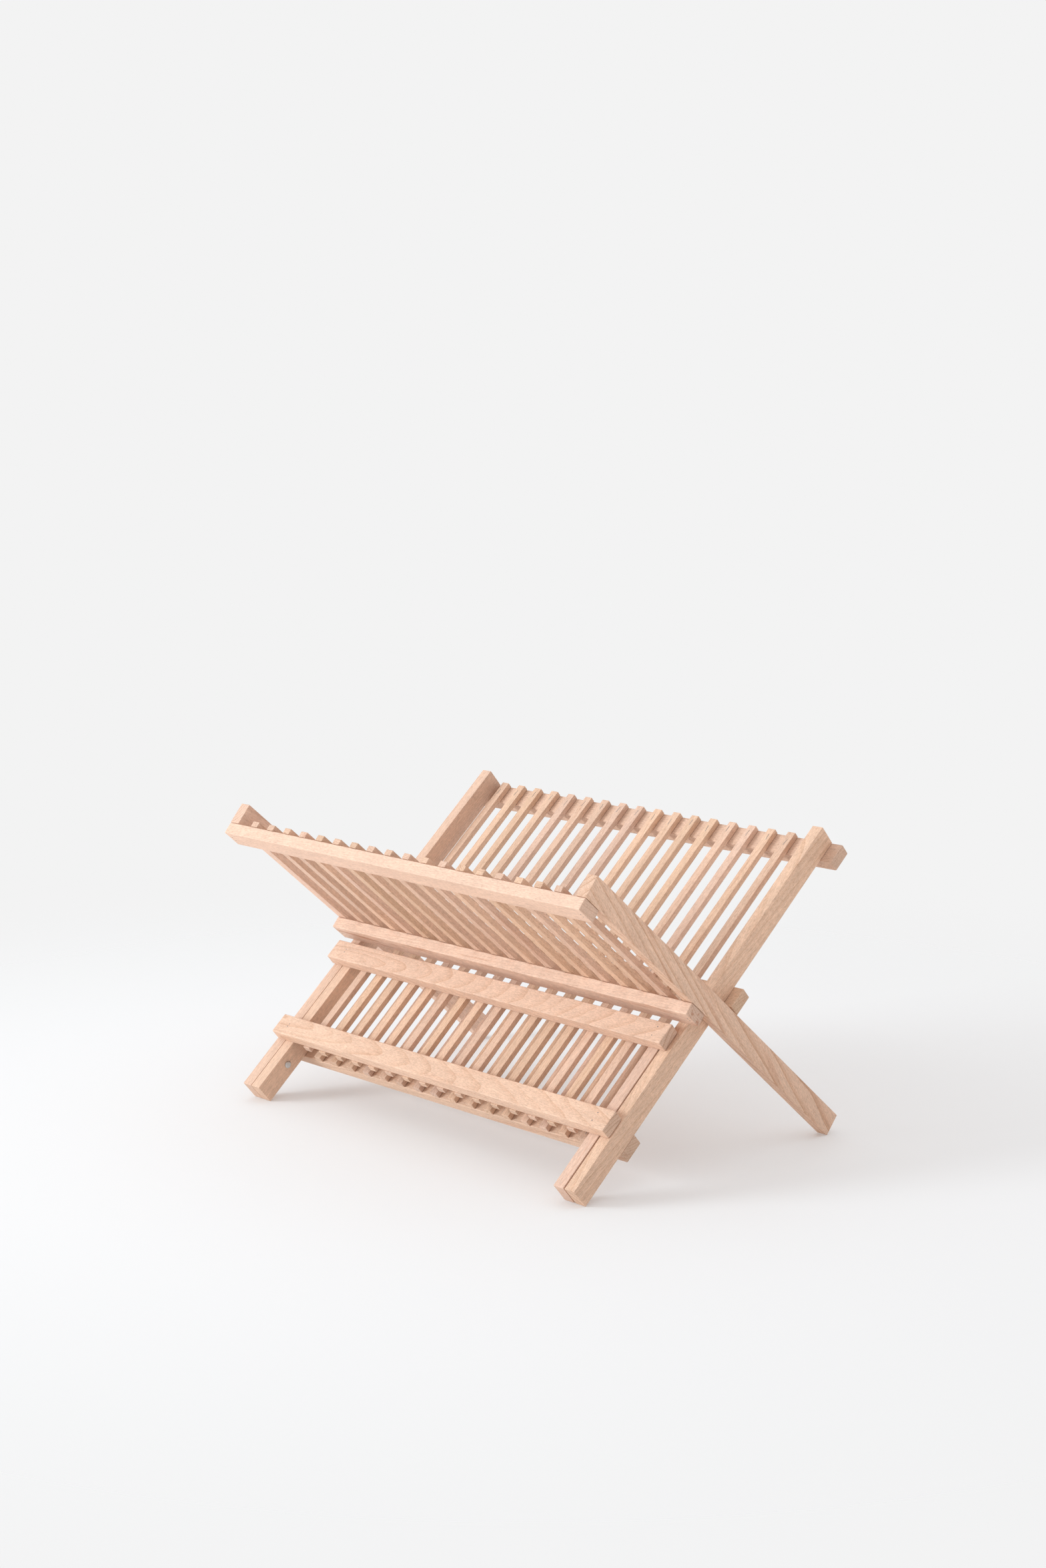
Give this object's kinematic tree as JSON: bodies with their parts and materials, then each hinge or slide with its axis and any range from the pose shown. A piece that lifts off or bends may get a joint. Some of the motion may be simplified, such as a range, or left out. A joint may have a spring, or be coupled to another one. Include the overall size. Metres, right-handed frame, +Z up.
{
  "type": "folding dish drying rack",
  "caption": "Folding beech drying rack for dishes: two slatted frames cross in an X and hold plates upright, and a slatted flap hinges forward at the front.",
  "frame": {"origin": "on the table, straight below the main pivot and midway along the rack", "axes": "+X along the rack to the right as seen from the front, +Y from front to back, +Z up. The flap is on the -Y side."},
  "size_m": [0.445, 0.3234, 0.2678],
  "materials": {
    "beech_rail": "untreated, planed, satin",
    "beech_bar": "untreated, planed, satin",
    "beech_slat": "untreated, planed, satin",
    "steel_pin": "bright, slightly worn"
  },
  "bodies": {
    "back_frame": {"back_rail_left": "beech_rail", "back_rail_right": "beech_rail", "back_bar_top": "beech_bar", "back_bar_middle": "beech_bar", "back_bar_bottom": "beech_bar", "back_slat_01": "beech_slat", "back_slat_02": "beech_slat", "back_slat_03": "beech_slat", "back_slat_04": "beech_slat", "back_slat_05": "beech_slat", "back_slat_06": "beech_slat", "back_slat_07": "beech_slat", "back_slat_08": "beech_slat", "back_slat_09": "beech_slat", "back_slat_10": "beech_slat", "back_slat_11": "beech_slat", "back_slat_12": "beech_slat", "back_slat_13": "beech_slat", "back_slat_14": "beech_slat", "back_slat_15": "beech_slat", "back_slat_16": "beech_slat", "back_slat_17": "beech_slat", "back_slat_18": "beech_slat", "flap_pin_left": "steel_pin", "flap_pin_right": "steel_pin"},
    "front_frame": {"front_rail_left": "beech_rail", "front_rail_right": "beech_rail", "front_bar_top": "beech_bar", "front_bar_middle": "beech_bar", "front_slat_01": "beech_slat", "front_slat_02": "beech_slat", "front_slat_03": "beech_slat", "front_slat_04": "beech_slat", "front_slat_05": "beech_slat", "front_slat_06": "beech_slat", "front_slat_07": "beech_slat", "front_slat_08": "beech_slat", "front_slat_09": "beech_slat", "front_slat_10": "beech_slat", "front_slat_11": "beech_slat", "front_slat_12": "beech_slat", "front_slat_13": "beech_slat", "front_slat_14": "beech_slat", "front_slat_15": "beech_slat", "front_slat_16": "beech_slat", "front_slat_17": "beech_slat", "front_slat_18": "beech_slat", "pivot_pin_left": "steel_pin", "pivot_pin_right": "steel_pin"},
    "flap": {"flap_rail_left": "beech_rail", "flap_rail_right": "beech_rail", "flap_bar_lower": "beech_bar", "flap_comb": "beech_slat"}
  },
  "joints": [
    {"name": "main_fold", "type": "hinge", "parent": "back_frame", "child": "front_frame", "pos_m": [0, 0, 0.13392], "axis": [-1, 0, 0], "range_deg": [0, 99]},
    {"name": "flap_hinge", "type": "hinge", "parent": "back_frame", "child": "flap", "pos_m": [0, -0.12129, 0.03034], "axis": [1, 0, 0], "range_deg": [0, 108]}
  ]
}
